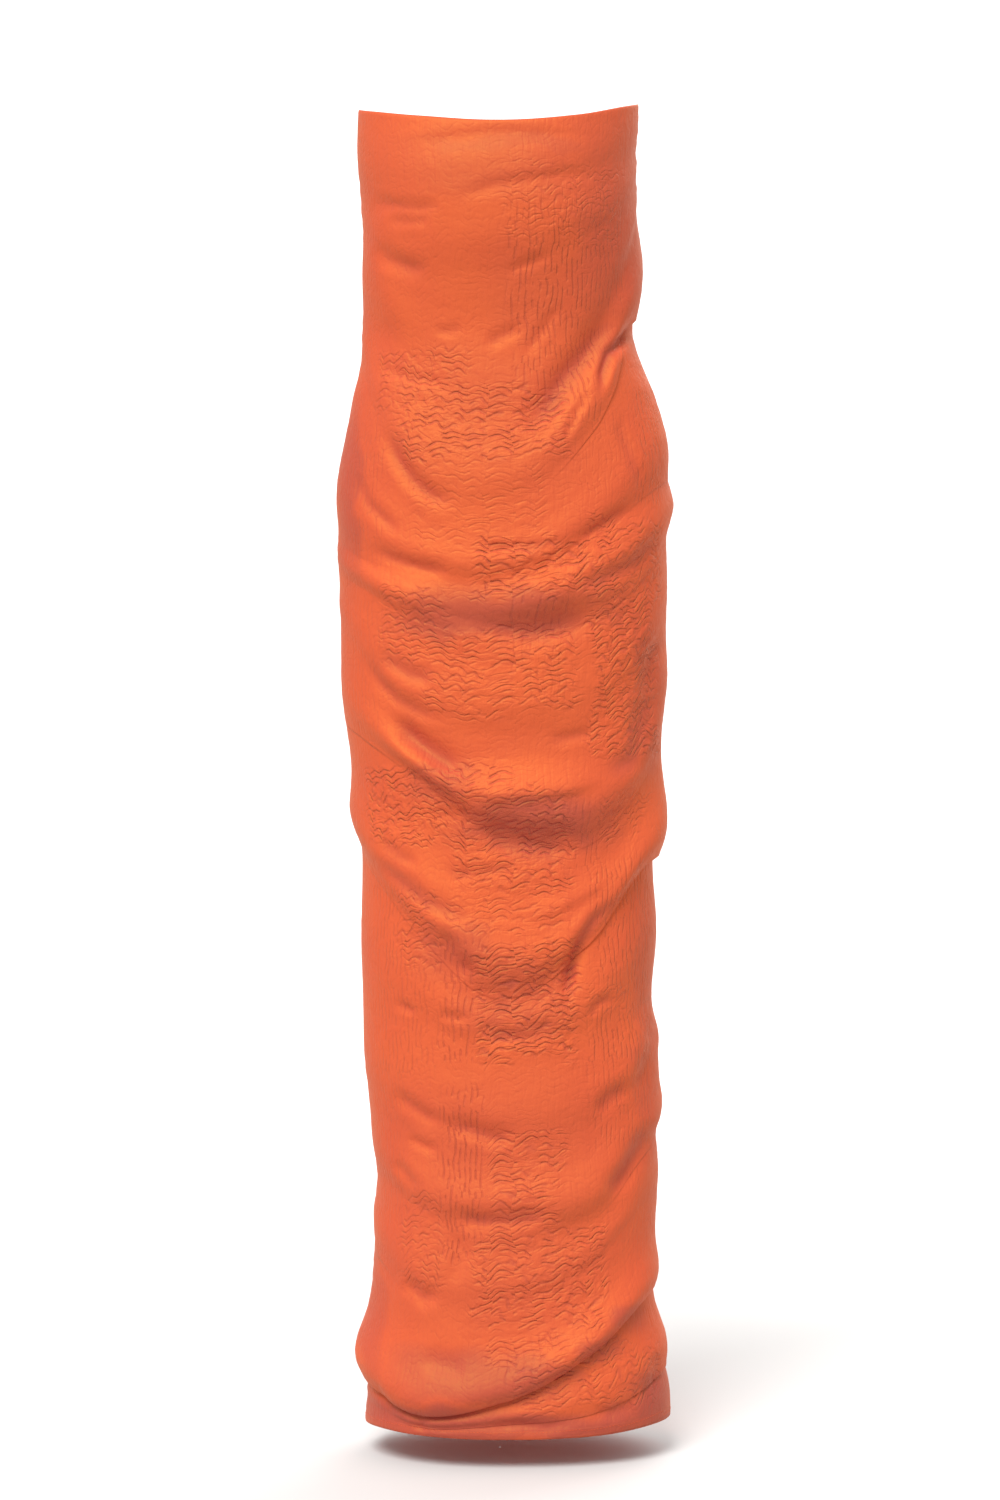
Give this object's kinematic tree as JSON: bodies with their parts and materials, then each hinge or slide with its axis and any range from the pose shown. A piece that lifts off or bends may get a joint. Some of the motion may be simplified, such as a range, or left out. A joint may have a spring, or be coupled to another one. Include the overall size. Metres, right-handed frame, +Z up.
{
  "type": "maxi dress",
  "caption": "Strapless floor-length column dress in crinkled satin, gathered into drooping folds at both side seams, with a concealed back zip.",
  "frame": {"origin": "centre of the top opening, level with the lowest point of the front's top edge", "axes": "+Z up along the body, -Y the way the front faces, +X to the wearer's left"},
  "size_m": [0.344, 0.2416, 1.353],
  "materials": {
    "crinkled_satin": "crinkled satin, soft sheen",
    "zip_tape": "woven tape, matt",
    "painted_zip_metal": "satin enamel"
  },
  "bodies": {
    "dress": {"front_panel": "crinkled_satin", "back_left_panel": "crinkled_satin", "back_right_panel": "crinkled_satin", "zip_tape_left": "zip_tape", "zip_tape_right": "zip_tape", "zip_slider": "painted_zip_metal"},
    "pull": {"zip_pull": "painted_zip_metal"}
  },
  "joints": [
    {"name": "pull_swing", "type": "hinge", "parent": "dress", "child": "pull", "pos_m": [0, 0.10128, -0.012], "axis": [1, 0, 0], "range_deg": [0, 150]}
  ]
}
